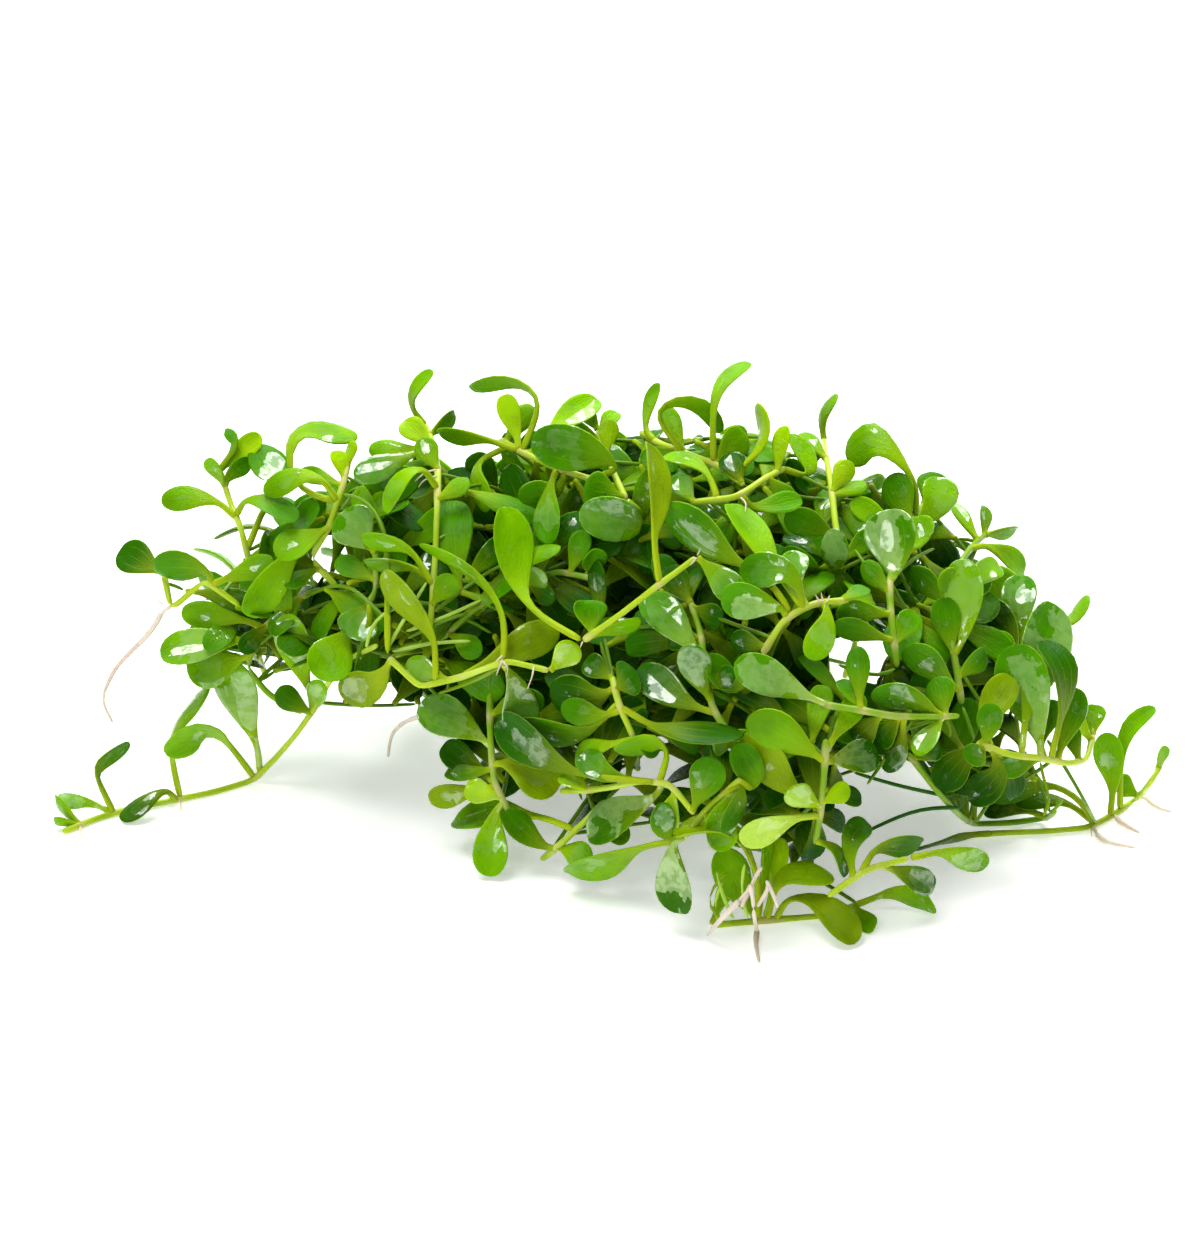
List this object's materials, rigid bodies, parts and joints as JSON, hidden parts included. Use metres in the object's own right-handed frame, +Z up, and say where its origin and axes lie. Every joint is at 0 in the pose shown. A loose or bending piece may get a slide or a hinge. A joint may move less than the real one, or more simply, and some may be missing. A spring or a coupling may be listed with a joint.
{
  "type": "glossostigma clump",
  "caption": "Loose heap of tangled creeping stems with paired spoon-shaped green leaves and fine pale roots, lying on a surface.",
  "frame": {"origin": "middle of the clump's outline, on the surface it lies on", "axes": "+X along the longer side, from the runner that trails left to the one that trails right; -Y is the front of the picture; +Z up"},
  "size_m": [0.0988, 0.0643, 0.04],
  "materials": {
    "leaves_and_stems": "wet, glossy",
    "roots": "soft"
  },
  "bodies": {
    "root": {"offshoot_left_low": "leaves_and_stems", "root_front_left": "roots", "root_front_long": "roots", "root_front_short": "roots", "root_left_hanging": "roots", "root_left_small": "roots", "root_right_long": "roots", "root_right_lower": "roots", "root_right_middle": "roots", "runner_centre": "leaves_and_stems", "runner_front_ground": "leaves_and_stems", "runner_front_right": "leaves_and_stems", "runner_left_trailing": "leaves_and_stems", "runner_middle_left": "leaves_and_stems", "runner_on_top": "leaves_and_stems", "runner_right_centre": "leaves_and_stems", "runner_right_second": "leaves_and_stems", "runner_right_trailing": "leaves_and_stems", "shoot_centre_right": "leaves_and_stems", "shoot_crown_left": "leaves_and_stems", "shoot_far_left": "leaves_and_stems", "shoot_far_right": "leaves_and_stems", "shoot_far_right_top": "leaves_and_stems", "shoot_front_hanging": "leaves_and_stems", "shoot_front_hub": "leaves_and_stems", "shoot_front_left": "leaves_and_stems", "shoot_front_low": "leaves_and_stems", "shoot_front_middle": "leaves_and_stems", "shoot_left_arching": "leaves_and_stems", "shoot_left_inner": "leaves_and_stems", "shoot_left_upper": "leaves_and_stems", "shoot_right_arching": "leaves_and_stems", "shoot_right_middle": "leaves_and_stems", "shoot_top_inner_right": "leaves_and_stems", "shoot_top_left": "leaves_and_stems", "shoot_top_middle": "leaves_and_stems", "shoot_top_right": "leaves_and_stems", "stem_back_01": "leaves_and_stems", "stem_back_02": "leaves_and_stems", "stem_back_03": "leaves_and_stems", "stem_back_04": "leaves_and_stems", "stem_back_05": "leaves_and_stems", "stem_back_06": "leaves_and_stems", "stem_back_07": "leaves_and_stems", "stem_behind_centre": "leaves_and_stems", "stem_behind_middle": "leaves_and_stems", "stem_right_upright": "leaves_and_stems"}
  },
  "joints": []
}
